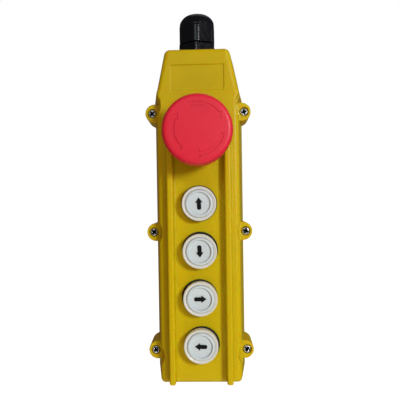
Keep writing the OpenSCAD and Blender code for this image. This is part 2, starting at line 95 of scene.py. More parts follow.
# Ears, and the screws, inserts and bosses in them
EAR_X, EAR_R, EAR_DEPTH, EAR_EDGE_R, EAR_FILLET = 27.3, 5.7, 7.5, 0.5, 0.7
BOSS_BACK, BOSS_EDGE_R = 33, 0.6
SCREW_SEAT, SCREW_HEAD_R, SCREW_HEAD_H, SCREW_R, SCREW_LENGTH = -9.6, 2.6, 1.8, 1.5, 16
SEAT_GAP, SEAT_EDGE_R, SHANK_GAP, SHANK_EDGE_R = 0.3, 0.25, 0.2, 0.15
INSERT_R, INSERT_END, POINT_GAP, POINT_END = 2.35, -19.5, 0.3, -31.5

# Posts for the carrier plate, and holes in the walls
POST_X, POST_R, POST_END, POST_HOLE_R, POST_HOLE_DEPTH = 12, 3.4, -33, 1.4, 3.8
POST_EDGE_R, POST_FILLET = 0.3, 0.8
GLAND_HOLE_R, BUTTON_HOLE_R, STOP_HOLE_R, HOLE_EDGE_R = 9.5, 8.1, 11.2, 0.2
GLAND_HOLE_EDGE_R, SHARP_R = 0.3, 0.1
PAST_WALL = 2


def node_mm(name):
    """Lowest and highest corner of a CAD node in the row frame, in millimetres."""
    low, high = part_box(name)
    return np.array(low) / MM, np.array(high) / MM


cover_low, cover_high = node_mm("front_cover")
rear_high = node_mm("rear_housing")[1]
screws_low, screws_high = node_mm("cover_screws")

TOP, BODY_H = cover_high[2], cover_high[2] - cover_low[2]
PANEL_Y = cover_low[1] + RIB_H
COVER_D = cover_high[1] - PANEL_Y
BODY_D = rear_high[1] - PANEL_Y
AXIS_H = PANEL_Y
DRAFT = (BACK_W - FRONT_W) / 2 / BODY_D
SCREW_X = screws_high[0] - SCREW_HEAD_R
SCREW_DROPS = np.linspace(
    TOP - screws_high[2] + SCREW_HEAD_R, TOP - screws_low[2] - SCREW_HEAD_R, 3
)
BUTTONS = ("up", "down", "right", "left")


def drop_of(node):
    """How far below the top edge a node's middle lies."""
    low, high = node_mm(node)
    return TOP - (low[2] + high[2]) / 2


STOP_DROP = drop_of("stop_collar")
BUTTON_DROPS = [drop_of("bezel_" + b) for b in BUTTONS]
POST_DROPS = [
    (STOP_DROP + BUTTON_DROPS[0]) / 2,
    (BUTTON_DROPS[2] + BUTTON_DROPS[3]) / 2,
]

# -------------------------------------------------------- signed distance kit


def rounded(gaps, r):
    """A convex block given by its distances from its faces, with edges of radius r."""
    worst, total = gaps[0], 0
    for gap in gaps:
        worst = np.maximum(worst, gap)
        total = total + np.maximum(gap + r, 0) ** 2
    return np.minimum(worst, -r) + np.sqrt(total)


def both(a, b, r):
    """What lies in both shapes, with a rounded edge where they meet."""
    return rounded((a, b), r)


def join(a, b, r):
    """Two shapes joined, with a fillet where they meet."""
    u, v = np.maximum(r - a, 0), np.maximum(r - b, 0)
    return np.maximum(r, np.minimum(a, b)) - np.hypot(u, v)


def cut(a, b, r):
    """Shape a without shape b, with a rounded edge where b cuts it."""
    return both(a, -b, r)


def round_column(x, d, cx, cd, r):
    """A round column along h."""
    return np.hypot(x - cx, d - cd) - r


def polygon(u, v, corners):
    """Signed distance from a closed outline in a plane."""
    best = np.full(np.shape(u), np.inf)
    inside = np.zeros(np.shape(u), bool)
    for (ax, ay), (bx, by) in zip(corners, corners[1:] + corners[:1]):
        ex, ey = bx - ax, by - ay
        t = np.clip(((u - ax) * ex + (v - ay) * ey) / (ex * ex + ey * ey), 0, 1)
        best = np.minimum(best, np.hypot(u - ax - t * ex, v - ay - t * ey))
        if ay != by:
            crosses = (ay > v) != (by > v)
            inside ^= crosses & (u < ax + (v - ay) * ex / ey)
    return np.where(inside, -best, best)


def grid_line(low, high, step, places=(), fine=None, reach=1.0, growth=0.35, samples=4001):
    """Grid coordinates from low to high, closer together near some places."""
    fine = fine or step
    s = np.linspace(low, high, samples)
    size = np.full_like(s, step)
    for place in places:
        away = np.maximum(np.abs(s - place) - reach, 0)
        size = np.minimum(size, fine + away * growth)
    count = np.concatenate([[0], np.cumsum((s[1] - s[0]) / size[1:])])
    cells = int(math.ceil(count[-1]))
    return np.interp(np.linspace(0, count[-1], cells + 1), count, s)


def surface_net(values, lines):
    """Points and four-sided faces of the surface where the grid's values are 0."""
    inside = values < 0
    nx, ny, nz = (len(line) - 1 for line in lines)
    corners = [(i, j, k) for i in (0, 1) for j in (0, 1) for k in (0, 1)]

    def shifted(a, c):
        return a[c[0] : c[0] + nx, c[1] : c[1] + ny, c[2] : c[2] + nz]

    filled = sum(shifted(inside, c).astype(np.int8) for c in corners)
    cells = np.nonzero((filled > 0) & (filled < 8))
    index = np.full((nx, ny, nz), -1, np.int64)
    index[cells] = np.arange(len(cells[0]))

    total, crossings = np.zeros((len(cells[0]), 3)), np.zeros(len(cells[0]))
    for a in corners:
        for axis in range(3):
            if a[axis]:
                continue
            b = tuple(a[n] + (n == axis) for n in range(3))
            at_a = tuple(cells[n] + a[n] for n in range(3))
            at_b = tuple(cells[n] + b[n] for n in range(3))
            va, vb = values[at_a], values[at_b]
            crossed = (va < 0) != (vb < 0)
            t = np.where(crossed, va / np.where(crossed, va - vb, 1), 0)
            for n in range(3):
                pa, pb = lines[n][at_a[n]], lines[n][at_b[n]]
                total[:, n] += crossed * (pa + t * (pb - pa))
            crossings += crossed
    points = total / crossings[:, None]

    faces = []
    for axis in range(3):
        n1, n2 = (axis + 1) % 3, (axis + 2) % 3
        near = [slice(1, -1)] * 3
        near[axis] = slice(0, -1)
        far = list(near)
        far[axis] = slice(1, None)
        starts, ends = inside[tuple(near)], inside[tuple(far)]
        for goes_out in (True, False):
            hit = np.nonzero((starts & ~ends) if goes_out else (~starts & ends))
            cell = [hit[n] + (0 if n == axis else 1) for n in range(3)]
            ring = []
            for s1, s2 in ((-1, -1), (0, -1), (0, 0), (-1, 0)):
                c = list(cell)
                c[n1], c[n2] = c[n1] + s1, c[n2] + s2
                ring.append(index[tuple(c)])
            quad = np.stack(ring, 1)
            faces.append(quad if goes_out else quad[:, ::-1])
    return points, np.concatenate(faces)


def gradient(distance, points, e=0.04):
    """Direction in which the distance grows fastest, by finite differences."""
    g = np.empty_like(points)
    for n in range(3):
        step = np.zeros(3)
        step[n] = e
        g[:, n] = (distance(*(points + step).T) - distance(*(points - step).T)) / (2 * e)
    return g


def bend(distance, points, e=0.8):
    """How sharply the surface bends: above 0 on outer edges, below 0 in corners."""
    total = -6 * distance(*points.T)
    for n in range(3):
        step = np.zeros(3)
        step[n] = e
        total += distance(*(points + step).T) + distance(*(points - step).T)
    return np.clip(total / e, -1, 1)


def to_row(points):
    """Panel coordinates in millimetres to the row frame in metres."""
    return np.stack([points[:, 0], PANEL_Y - points[:, 1], TOP - points[:, 2]], 1) * MM


def unit(v):
    """Vectors scaled to length 1."""
    return v / np.maximum(np.linalg.norm(v, axis=1), 1e-9)[:, None]


def without_flat_points(points, quads, normals, block=7.0, flatness=0.999999):
    """Joins the small faces of flat regions into blocks, inside a ring of small ones.

    Each block of space gets its own number, and faces in one block are joined.
    """
    corner = normals[quads]
    mean = unit(corner.mean(1))
    flat = (corner * mean[:, None]).sum(2).min(1) > flatness
    busy = np.zeros(len(points), bool)
    busy[quads[~flat].ravel()] = True
    free = ~busy[quads].any(1)
    cube = np.floor(points[quads].mean(1) / block).astype(np.int64) + 500
    key = np.where(free, cube @ np.array([1, 1000, 1000000]), -1).tolist()
    mesh = bpy.data.meshes.new("draft")
    mesh.from_pydata(points.tolist(), [], quads.tolist())
    bm = bmesh.new()
    bm.from_mesh(mesh)
    bm.faces.ensure_lookup_table()
    joined = []
    for edge in bm.edges:
        sides = edge.link_faces
        if len(sides) == 2 and key[sides[0].index] == key[sides[1].index] >= 0:
            joined.append(edge)
    bmesh.ops.dissolve_edges(bm, edges=joined, use_verts=True)
    kept = np.array([v.co for v in bm.verts], float)
    bm.verts.index_update()
    faces = [[v.index for v in f.verts] for f in bm.faces]
    bm.free()
    bpy.data.meshes.remove(mesh)
    return kept, faces


def mould(distance, lines, slack=0.6, passes=4, layers=60):
    """Mesh of the shape with that distance: points, faces, normals and edge bend.

    The distances are worked out some layers at a time. Each pass then moves the
    points closer to the shape, by at most a share of a grid cell.
    """
    xs, hs, ds = (line.astype(np.float32) for line in lines)
    sections = []
    for part in np.array_split(ds, max(1, len(ds) // layers)):
        shape = (len(xs), len(hs), len(part))
        grid = (xs[:, None, None], hs[None, :, None], part[None, None, :])
        some = distance(*(np.broadcast_to(a, shape) for a in grid))
        sections.append(some.astype(np.float32))
    points, quads = surface_net(np.concatenate(sections, 2), lines)
    start, step = points.copy(), slack * min(np.diff(line).max() for line in lines)
    for _ in range(passes):
        f, g = distance(*points.T), gradient(distance, points)
        move = -g * (f / np.maximum((g * g).sum(1), 0.25))[:, None]
        points = start + np.clip(points + move - start, -step, step)
    normals = unit(gradient(distance, points))
    points, faces = without_flat_points(points, quads, normals)
    return points, faces, unit(gradient(distance, points)), bend(distance, points)


def rounded_path(profile, steps):
    """Points, outward normals and bends along a closed outline with rounded corners.

    The profile is a list of (radius, h, corner radius), with the solid on its left.
    """
    path = []
    for n, (r, h, round_r) in enumerate(profile):
        here = np.array([r, h], float)
        came = here - profile[n - 1][:2]
        goes = np.array(profile[(n + 1) % len(profile)][:2]) - here
        came, goes = came / np.linalg.norm(came), goes / np.linalg.norm(goes)
        if r < 1e-6:
            along = goes if abs(came[0]) < 1e-6 else came
            path.append((here, np.array([along[1], -along[0]]), 0.0))
            continue
        turn = math.atan2(came[0] * goes[1] - came[1] * goes[0], came @ goes)
        side = 1 if turn > 0 else -1
        out = math.atan2(-came[0], came[1])
        start = here - came * round_r * math.tan(abs(turn) / 2)
        middle = start - side * round_r * np.array([math.cos(out), math.sin(out)])
        for s in range(steps + 1):
            a = out + turn * s / steps
            ray = np.array([math.cos(a), math.sin(a)])
            edge_bend = side * 0.6 if 0 < s < steps else 0.0
            path.append((middle + side * round_r * ray, ray, edge_bend))
    return path


def turned(profile, centre_d=0.0, centre_x=0.0, sides=96, steps=5):
    """Mesh of a profile turned round an axis along h: points, faces, normals, bends."""
    points, normals, edge, faces, rows = [], [], [], [], []
    for (r, h), (out_r, out_h), edge_bend in rounded_path(profile, steps):
        row = []
        for s in range(sides if r > 1e-6 else 1):
            c, sn = math.cos(2 * math.pi * s / sides), math.sin(2 * math.pi * s / sides)
            row.append(len(points))
            points.append([centre_x + r * c, h, centre_d + r * sn])
            normals.append([out_r * c, out_h, out_r * sn])
            edge.append(edge_bend)
        rows.append(row)
    for low, high in zip(rows, rows[1:] + rows[:1]):
        if len(low) == len(high) == 1:
            continue
        for s in range(sides):
            t = (s + 1) % sides
            ring = [low[s % len(low)], high[s % len(high)], high[t % len(high)], low[t % len(low)]]
            faces.append(list(dict.fromkeys(ring)))
    return np.array(points), faces, np.array(normals), np.array(edge)


def moved(mesh, x=0.0, h=0.0, d=0.0):
    """The same mesh somewhere else."""
    points, faces, normals, edge = mesh
    return points + np.array([x, h, d]), faces, normals, edge


def together(meshes):
    """Several meshes as one."""
    shift, faces = 0, []
    for points, some, _, _ in meshes:
        faces += [[n + shift for n in f] for f in some]
        shift += len(points)
    columns = [np.concatenate([m[n] for m in meshes]) for n in (0, 2, 3)]
    return columns[0], faces, columns[1], columns[2]


def threaded(r, depth, pitch, low, high, sides=24, per_pitch=4, flank=0.4):
    """A threaded shank along h, closed at both ends."""
    rows = int((high - low) / pitch * per_pitch)
    points, faces, normals = [], [], []
    for n in range(rows + 1):
        h = low + (high - low) * n / rows
        for s in range(sides):
            a = 2 * math.pi * s / sides
            phase = ((h - low) / pitch + s / sides) % 1
            reach = r - depth * abs(2 * phase - 1) * (0 < n < rows)
            points.append([reach * math.cos(a), h, reach * math.sin(a)])
            normals.append([math.cos(a), flank * math.copysign(1, 0.5 - phase), math.sin(a)])
    for n in range(rows):
        for s in range(sides):
            t = (s + 1) % sides
            a, b = n * sides, (n + 1) * sides
            faces.append([a + s, b + s, b + t, a + t])
    faces.append(list(range(sides)))
    faces.append(list(range(rows * sides, (rows + 1) * sides))[::-1])
    return np.array(points), faces, unit(np.array(normals)), np.zeros(len(points))


# ---------------------------------------------------------------- enclosure


def sides(x, h, d, inset, r):
    """Distance from the sides of the straight body and of the tapered head above it."""
    straight = FRONT_W / 2 - h * DRAFT - inset
    body_side = (np.abs(x) - straight) / math.hypot(1, DRAFT)
    depth = -h / BODY_D
    top_half = (HEAD_TOP_W + HEAD_DRAFT * depth) / 2
    flare_half = (FLARE_W + (FLARE_BACK_W - FLARE_W) * depth) / 2
    slope = (flare_half - top_half) / (FLARE_DROP - FLARE_R)
    tapered = top_half + slope * (d - FLARE_R) - inset
    head_side = (np.abs(x) - tapered) / np.sqrt(1 + DRAFT**2 + slope**2)
    body = rounded([body_side, FLARE_DROP - FLARE_R - d], r)
    head = rounded([head_side, d - FLARE_DROP - FLARE_R], r)
    return join(body, head, FLARE_FILLET)


def block(x, h, d, inset, r):
    """The enclosure as a solid block, drawn in by inset, with edges of radius r."""
    ends = [h, -h - BODY_D, -d, d - BODY_H]
    return rounded([sides(x, h, d, inset, r)] + [end + inset for end in ends], r)


def waist(x, h, d, wall):
    """Columns cut below the head, with room for a wall around them."""
    at_x = FRONT_W / 2 - WAIST_CUT + RELIEF_R - h * DRAFT
    return round_column(np.abs(x), d, at_x, WAIST_DROP, RELIEF_R + wall)


def outside(x, h, d):
    """The enclosure's outside, without its ears and ribs."""
    return cut(block(x, h, d, 0, EDGE_R), waist(x, h, d, 0), WAIST_EDGE_R)


def inside(x, h, d, inset):
    """The room inside the enclosure."""
    return block(x, h, d, inset, INNER_R)


def ear_columns(x, d, r, cx=EAR_X):
    """Round columns at the cover screws, on both sides."""
    return np.minimum.reduce([round_column(np.abs(x), d, cx, s, r) for s in SCREW_DROPS])


def guard_ribs(x, h, d):
    """The two ribs beside the buttons, rounded along the top and a little wider at the foot."""
    lean = RIB_LEAN * (1 - np.clip(h, 0, RIB_H) / RIB_H)
    across = np.abs(np.abs(x) - RIB_X) - RIB_W / 2 - lean
    ends = [RIB_TOP_DROP - d, d - BODY_H + RIB_SHORT]
    return rounded([across, h - RIB_H, -WALL / 2 - h] + ends, RIB_EDGE_R)


def reliefs(x, h, d, wall):
    """Columns cut beside the cover screws, with room for a wall around them."""
    at_x, r = FRONT_W / 2 - RELIEF_CUT + RELIEF_R, RELIEF_R + wall
    columns = [
        round_column(np.abs(x), d, at_x, drop - rise, r)
        for drop, rise in zip(SCREW_DROPS, RELIEF_RISE)
    ]
    return np.maximum(np.minimum.reduce(columns), -EAR_DEPTH - wall - h)


def post_columns(x, d, r):
    """Round columns at the posts, on both sides."""
    return np.minimum.reduce([round_column(np.abs(x), d, POST_X, drop, r) for drop in POST_DROPS])


def cover_distance(x, h, d):
    """The front cover."""
    shape = both(outside(x, h, d), -COVER_D - h, PARTING_R)
    shape = cut(shape, reliefs(x, h, d, 0), RELIEF_EDGE_R)
    ears = rounded([ear_columns(x, d, EAR_R), h + EAR_DEPTH, -COVER_D - h], EAR_EDGE_R)
    shape = join(shape, ears, EAR_FILLET)
    cavity = np.maximum(inside(x, h, d, WALL), h + WALL)
    cavity = cut(cavity, reliefs(x, h, d, RELIEF_WALL), CAVITY_EDGE_R)
    shape = cut(shape, cavity, CAVITY_EDGE_R)
    shape = join(shape, guard_ribs(x, h, d), RIB_FILLET)
    field = [np.abs(x) - RECESS_W / 2, RECESS_HIGH - d, d - RECESS_LOW, -RECESS_DEPTH - h]
    shape = cut(shape, rounded(field, RECESS_CORNER_R), RECESS_EDGE_R)
    for drop, r in [(STOP_DROP, STOP_HOLE_R)] + [(b, BUTTON_HOLE_R) for b in BUTTON_DROPS]:
        hole = np.maximum(round_column(x, d, 0, drop, r), -WALL - PAST_WALL - h)
        shape = cut(shape, hole, HOLE_EDGE_R)
    seats = np.maximum(ear_columns(x, d, SCREW_HEAD_R + SEAT_GAP, SCREW_X), SCREW_SEAT - h)
    shape = cut(shape, seats, SEAT_EDGE_R)
    return cut(shape, ear_columns(x, d, SCREW_R + SHANK_GAP, SCREW_X), SHANK_EDGE_R)


def rear_distance(x, h, d):
    """The rear housing."""
    shape = both(outside(x, h, d), h + COVER_D, PARTING_R)
    ears = rounded([ear_columns(x, d, EAR_R), h + COVER_D, -BOSS_BACK - h], BOSS_EDGE_R)
    shape = join(shape, ears, EAR_FILLET)
    shape = cut(shape, inside(x, h, d, WALL), PARTING_R)
    seat = np.maximum(inside(x, h, d, GASKET_INSET), -COVER_D - GASKET_H - h)
    shape = cut(shape, np.maximum(seat, -waist(x, h, d, WAIST_LIP)), SHARP_R)
    posts = post_columns(x, d, POST_R)
    posts = rounded([posts, h - POST_END, -BODY_D - h + WALL / 2], POST_EDGE_R)
    shape = join(shape, posts, POST_FILLET)
    holes = post_columns(x, d, POST_HOLE_R)
    shape = cut(shape, np.maximum(holes, POST_END - POST_HOLE_DEPTH - h), SHARP_R)
    inserts = np.maximum(ear_columns(x, d, INSERT_R, SCREW_X), INSERT_END - h)
    shape = cut(shape, inserts, SHANK_EDGE_R)
    points = np.maximum(ear_columns(x, d, SCREW_R + POINT_GAP, SCREW_X), POINT_END - h)
    shape = cut(shape, points, SHARP_R)
    gland_hole = np.maximum(np.hypot(x, h - AXIS_H) - GLAND_HOLE_R, d - WALL - PAST_WALL)
    return cut(shape, gland_hole, GLAND_HOLE_EDGE_R)


# Grid cells of the two shells, and how far a grid reaches past its shape
STEP = 0.55
FINE = 0.3
MARGIN = 0.8


def half_lines(low_h, high_h, h_places):
    """Grid lines round the enclosure, closest where its details are small."""
    edge_x = cover_high[0] + 0.7
    xs = grid_line(-edge_x, edge_x, STEP, [-RECESS_W / 2, RECESS_W / 2], FINE, 0.5)
    hs = grid_line(low_h, high_h, STEP, h_places, FINE, 0.6)
    ds = grid_line(-0.9, BODY_H + 0.9, STEP, [RECESS_HIGH, RECESS_LOW], FINE, 0.5)
    return xs, hs, ds


# ----------------------------------------------------------- emergency stop

STOP_R, STOP_TOP, STOP_LOW, STOP_RIM = 20.4, 31, 12.5, 3.0
STOP_CROWN, STOP_TAPER, TAPER_TOP, TAPER_H = 0.3, 0.4, 28, 15
FLUTES, FLUTE_DEPTH, FLUTE_TOP_GAP, FLUTE_RUN_OUT, FLUTE_LOW_GAP = 100, 0.5, 0.7, 1.3, 1
HOLLOW_R, HOLLOW_TOP, HUB_R, HUB_LOW = 17, 20, 7.8, 15
SPINDLE_R, SPINDLE_TOP = 5.06, 26.3
GASKET_T = 1.0
STOP_SEAL_IN, STOP_SEAL_OUT = 11.05, 14.8
STOP_WIRE, STOP_WIRE_R, STOP_WIRE_LOW, STOP_WIRE_HIGH = 0.5, 4.6, -11.75, 4.45
TURN_LOW, TURN_HIGH, TURN_SPREAD, TURN_DEPTH = 13.0, 15.3, 1.4, 0.4
TURN_TAIL, TURN_NECK, TURN_POINT, TURN_GAP = 230, 155, 140, 15
TURN_OVERLAP, TURN_END_R, TURN_EDGE_R = 0.5, 0.4, 0.12
STOP_FOOT_R, HOLLOW_EDGE_R = 0.5, 0.4


def on_circle(r, degrees):
    """A point on a circle about the origin."""
    a = math.radians(degrees)
    return r * math.cos(a), r * math.sin(a)


def turn_arrows(r, theta):
    """The three arrows on the mushroom's face, which point the way it turns."""
    third = 2 * math.pi / 3
    first = math.radians(TURN_POINT - TURN_GAP)
    a = (theta - first) % third + first
    middle, half = (TURN_LOW + TURN_HIGH) / 2, (TURN_HIGH - TURN_LOW) / 2
    tail = r * np.sin(a - math.radians(TURN_TAIL))
    neck = r * np.sin(math.radians(TURN_NECK) - a)
    shaft = rounded([np.abs(r - middle) - half, tail, neck - TURN_OVERLAP], TURN_END_R)
    head = [
        on_circle(TURN_HIGH + TURN_SPREAD, TURN_NECK),
        on_circle(middle, TURN_POINT),
        on_circle(TURN_LOW - TURN_SPREAD, TURN_NECK),
    ]
    return np.minimum(shaft, polygon(r * np.cos(a), r * np.sin(a), head))


def stop_head_distance(x, h, d):
    """The mushroom, fluted on its side and hollow underneath."""
    r, theta = np.hypot(x, d), np.arctan2(-d, x)
    fade = np.clip((STOP_TOP - FLUTE_TOP_GAP - h) / FLUTE_RUN_OUT, 0, 1)
    fade = fade * np.clip(h - STOP_LOW - FLUTE_LOW_GAP, 0, 1)
    flute = FLUTE_DEPTH * (0.5 - 0.5 * np.cos(FLUTES * theta)) * fade
    side = STOP_R - STOP_TAPER * np.clip((TAPER_TOP - h) / TAPER_H, 0, 1) - flute
    top = STOP_TOP - STOP_CROWN * (r / HOLLOW_R) ** 2
    shape = both(both(r - side, h - top, STOP_RIM), STOP_LOW - h, STOP_FOOT_R)
    arrows = np.maximum(turn_arrows(r, theta), top - TURN_DEPTH - h)
    shape = cut(shape, arrows, TURN_EDGE_R)
    hub = np.maximum(r - HUB_R, HUB_LOW - h)
    hollow = cut(np.maximum(r - HOLLOW_R, h - HOLLOW_TOP), hub, HOLLOW_EDGE_R)
    shape = cut(shape, hollow, HOLLOW_EDGE_R)
    return cut(shape, np.maximum(r - SPINDLE_R, h - SPINDLE_TOP), HOLE_EDGE_R)


# Profiles are lists of (radius, h, corner radius)
COLLAR = [
    (2.6, -13, 0.2), (11, -13, 0.4), (11, GASKET_T, 0.1), (14.4, GASKET_T, 0.3), (14.4, 4.5, 1.0),
    (11.9, 10, 0.7), (7.9, 10, 0.3), (7.9, -11.8, 0.2), (2.6, -11.8, 0.1),
]
SPINDLE = [
    (0, -12, 0), (2.3, -12, 0.2), (2.3, 4.5, 0.2), (6.7, 4.5, 0.2), (6.7, -5, 0.1), (7.6, -5, 0.1),
    (7.6, 6, 0.4), (5, 6, 0.3), (5, 26, 0.5), (0, 26, 0),
]


# ------------------------------------------------------------------- buttons

CAP_R, CAP_TOP, CAP_LOW, DISH_R, DISH_FLOOR = 8.5, 7.4, 4.8, 7.0, 6.0
STEM_R, STEM_END, SKIRT_OUT, SKIRT_IN, SKIRT_END = 2.7, -12, 6.6, 5.6, -1
BEZEL_R, BEZEL_TOP, BEZEL_BORE, BEZEL_FLOOR = 10.5, 6.8, 8.65, 1.7
BARREL_R, BARREL_BORE, BARREL_END, BARREL_LEDGE = 7.9, 6.9, -11, -9.8
GASKET_R = 11.0
GASKET_BULGES = ((0, -0.15), (0.15, -0.75), (-0.45, -0.45), (0.5, -0.4))  # right, down
ARROW_LENGTH, ARROW_W, ARROW_T = 7.4, 4.7, 0.35
ARROW_HEAD, ARROW_HALF_SHAFT, ARROW_TAIL_R = 3.2, 1.25, 0.7
WIRE, WIRE_R, WIRE_GAP, WIRE_KEEP, WIRE_TURNS = 0.4, 4.3, 0.05, 0.793, 6
ARROW_TURNS = {"up": 3, "down": 183, "right": -90, "left": 88}  # degrees

CAP = [
    (0, STEM_END, 0), (STEM_R, STEM_END, 0.3), (STEM_R, CAP_LOW, 0.2),
    (SKIRT_IN, CAP_LOW, 0.2), (SKIRT_IN, SKIRT_END, 0.1), (SKIRT_OUT, SKIRT_END, 0.1),
    (SKIRT_OUT, CAP_LOW, 0.1), (CAP_R, CAP_LOW, 0.2), (CAP_R, CAP_TOP, 1.1),
    (DISH_R, CAP_TOP, 0.3), (DISH_R - 0.15, DISH_FLOOR, 0.35), (0, DISH_FLOOR, 0),
]
BEZEL = [
    (STEM_R + 0.3, BARREL_END, 0.1), (BARREL_R, BARREL_END, 0.3), (BARREL_R, GASKET_T, 0.1),
    (BEZEL_R, GASKET_T, 0.2), (BEZEL_R, BEZEL_TOP, 0.6), (BEZEL_R - 0.7, BEZEL_TOP, 0.2),
    (BEZEL_BORE, BEZEL_TOP - 0.6, 0.2), (BEZEL_BORE, BEZEL_FLOOR, 0.2),
    (BARREL_BORE, BEZEL_FLOOR, 0.2), (BARREL_BORE, BARREL_LEDGE, 0.2),
    (STEM_R + 0.3, BARREL_LEDGE, 0.1),
]


def ring(r_in, r_out, low, high, round_r):
    """Profile of a plain ring."""
    return [(r, h, round_r) for r, h in ((r_in, low), (r_out, low), (r_out, high), (r_in, high))]


def cap_arrow_distance(x, h, d):
    """An arrow that points up, with slightly swept barbs and a round tail."""
    top, half_w, half_shaft = ARROW_LENGTH / 2, ARROW_W / 2, ARROW_HALF_SHAFT
    neck, tail = top - ARROW_HEAD, -top + ARROW_TAIL_R
    outline = [
        (0, top), (-half_w, neck), (-half_shaft, neck + 0.2), (-half_shaft, tail),
        (-half_shaft + 0.6, -top), (half_shaft - 0.6, -top), (half_shaft, tail),
        (half_shaft, neck + 0.25), (half_w, neck),
    ]
    flat = polygon(x, -d, outline)
    return rounded([flat, h - ARROW_T, -h], SHARP_R)


def spun(mesh, degrees):
    """The same mesh turned about h, counter-clockwise as the user sees it."""
    points, faces, normals, edge = mesh
    c, s = math.cos(math.radians(degrees)), math.sin(math.radians(degrees))
    m = np.array([[c, 0, -s], [0, 1, 0], [s, 0, c]])
    return points @ m, faces, normals @ m, edge


def squeezed_out(mesh, drop, right, down):
    """The same gasket, with its outer edge pushed out further on one side."""
    points, faces, normals, edge = mesh
    r = np.hypot(points[:, 0], points[:, 2] - drop)
    share = np.clip((r - BARREL_R) / (GASKET_R - BARREL_R), 0, 1)[:, None]
    return points + share * np.array([right, 0, down]), faces, normals, edge


# -------------------------------------------------------------------- screws

CROSS_LENGTH, CROSS_W, CROSS_DEPTH, CROSS_TAPER, ARM_TAPER = 1.85, 0.5, 1.3, 0.6, 0.12
PIT_R, PIT_TAPER, PIT_SLOPE, CROWN_R, CROSS_EDGE_R = 1.0, 0.55, 0.87, 1.0, 0.08
# How deep, how far out and how high the painted shade in the cross recess reaches
DARK_DEPTH, DARK_REACH, DARK_END = 0.12, 0.15, 0.3
SCREW_TURNS = (38, 10, 52, -20, 33, 61)


def screw_head_distance(x, h, d):
    """A pan head with a cross recess, its seat at h = 0."""
    r = np.hypot(x, d)
    shape = both(both(r - SCREW_HEAD_R, h - SCREW_HEAD_H, CROWN_R), -h, SHARP_R)
    deep = SCREW_HEAD_H - h
    a, b = np.abs(x), np.abs(d)
    reach, half = CROSS_LENGTH - CROSS_TAPER * deep, CROSS_W - ARM_TAPER * deep
    arms = np.minimum(np.maximum(a - reach, b - half), np.maximum(b - reach, a - half))
    pit = (r - (PIT_R - PIT_TAPER * deep)) * PIT_SLOPE
    return cut(shape, np.maximum(np.minimum(arms, pit), deep - CROSS_DEPTH), CROSS_EDGE_R)


def with_shaded_cross(mesh):
    """The same screw head, with its recess marked for painted shade, as the deepest of hollows."""
    points, faces, normals, edge = mesh
    h, r = points[:, 1], np.hypot(points[:, 0], points[:, 2])
    # Painted shade: the cross recess is marked so the steel is painted near black there.
    recess = (SCREW_HEAD_H - h > DARK_DEPTH) & (h > DARK_END) & (r < CROSS_LENGTH + DARK_REACH)
    return points, faces, normals, np.where(recess, -1.0, edge)


# --------------------------------------------------------------------- gland

GLAND_TURN, HEX_HALF, HEX_R, HEX_CORNER_R = 26, 11, 12.7, 2.6
NUT_LOW, NUT_HIGH, NUT_RISE = 7.8, 26.8, 1.0
DOME_R, DOME_X = 8.0, 3.4
NUT_CHAMFER, NUT_EDGE_R, DOME_EDGE_R, BODY_CHAMFER, BODY_CORNER_R = 0.2, 0.2, 0.3, 0.9, 0.7
BODY_EDGE_R, SLEEVE_GAP = 0.25, 0.2
DIAGONAL = 0.7071
MOUTH_R, NUT_BORE, SEAL_SEAT, SEAL_TOP = 5.6, 8.95, 7.9, 19.3
BODY_LOW, BODY_HIGH, BODY_BORE, THREAD_R, THREAD_END = 1.2, 7.0, 6.0, 9.3, -10
SLEEVE_R, SLEEVE_TOP, SEAL_R, SEAL_LENGTH = 8.9, 18, 7.6, 19
WASHER_R, WASHER_T, CABLE_R = 11.4, 1.2, 4.5


def hexagon(x, y, half, r):
    """A hexagon seen along the gland's axis, with rounded corners."""
    gaps = []
    for k in range(3):
        a = math.radians(GLAND_TURN + 30 + 60 * k)
        gaps.append(np.abs(x * math.cos(a) + y * math.sin(a)) - half)
    return rounded(gaps, r)


def gland_nut_distance(x, h, d):
    """The dome nut, with a bore through it."""
    y, z = AXIS_H - h, -d
    r = np.hypot(x, y)
    dome_low = NUT_HIGH - DOME_R
    foot = (r - (HEX_R + NUT_CHAMFER) + NUT_RISE - (z - NUT_LOW)) * DIAGONAL
    cone = (r - (DOME_X + DOME_R) + z - dome_low) * DIAGONAL
    dome = np.hypot(np.maximum(r - DOME_X, 0), np.maximum(z - dome_low, 0)) - DOME_R
    dome = np.where(z < dome_low, cone, dome)
    shape = rounded([hexagon(x, y, HEX_HALF, HEX_CORNER_R), foot, NUT_LOW - z], NUT_EDGE_R)
    shape = rounded([shape, dome, z - NUT_HIGH], DOME_EDGE_R)
    bore = np.minimum(np.maximum(r - NUT_BORE, z - SLEEVE_TOP - SLEEVE_GAP), r - MOUTH_R)
    seat = np.maximum(r - SEAL_SEAT, z - SEAL_TOP)
    return cut(cut(shape, bore, DOME_EDGE_R), seat, SHARP_R)


def gland_body_distance(x, h, d):
    """The gland's body: hexagon, and the sleeve that holds the seal."""
    y, z = AXIS_H - h, -d
    r = np.hypot(x, y)
    foot = (r - (HEX_R - BODY_CHAMFER) - (z - BODY_LOW)) * DIAGONAL
    flats = hexagon(x, y, HEX_HALF, BODY_CORNER_R)
    hexed = rounded([flats, foot, BODY_LOW - z, z - BODY_HIGH], BODY_EDGE_R)
    sleeve = rounded([r - SLEEVE_R, BODY_HIGH - 1 - z, z - SLEEVE_TOP], DOME_EDGE_R)
    bore = np.minimum(r - BODY_BORE, np.maximum(r - SEAL_R, BODY_HIGH - z))
    return cut(np.minimum(hexed, sleeve), bore, SHARP_R)


def upright(mesh):
    """A mesh made along h, stood up along the gland's axis."""
    points, faces, normals, edge = mesh
    m = np.array([[1, 0, 0], [0, 0, -1], [0, 1, 0]])
    return points @ m + np.array([0, AXIS_H, 0]), faces, normals @ m, edge


# ------------------------------------------------------------------- springs


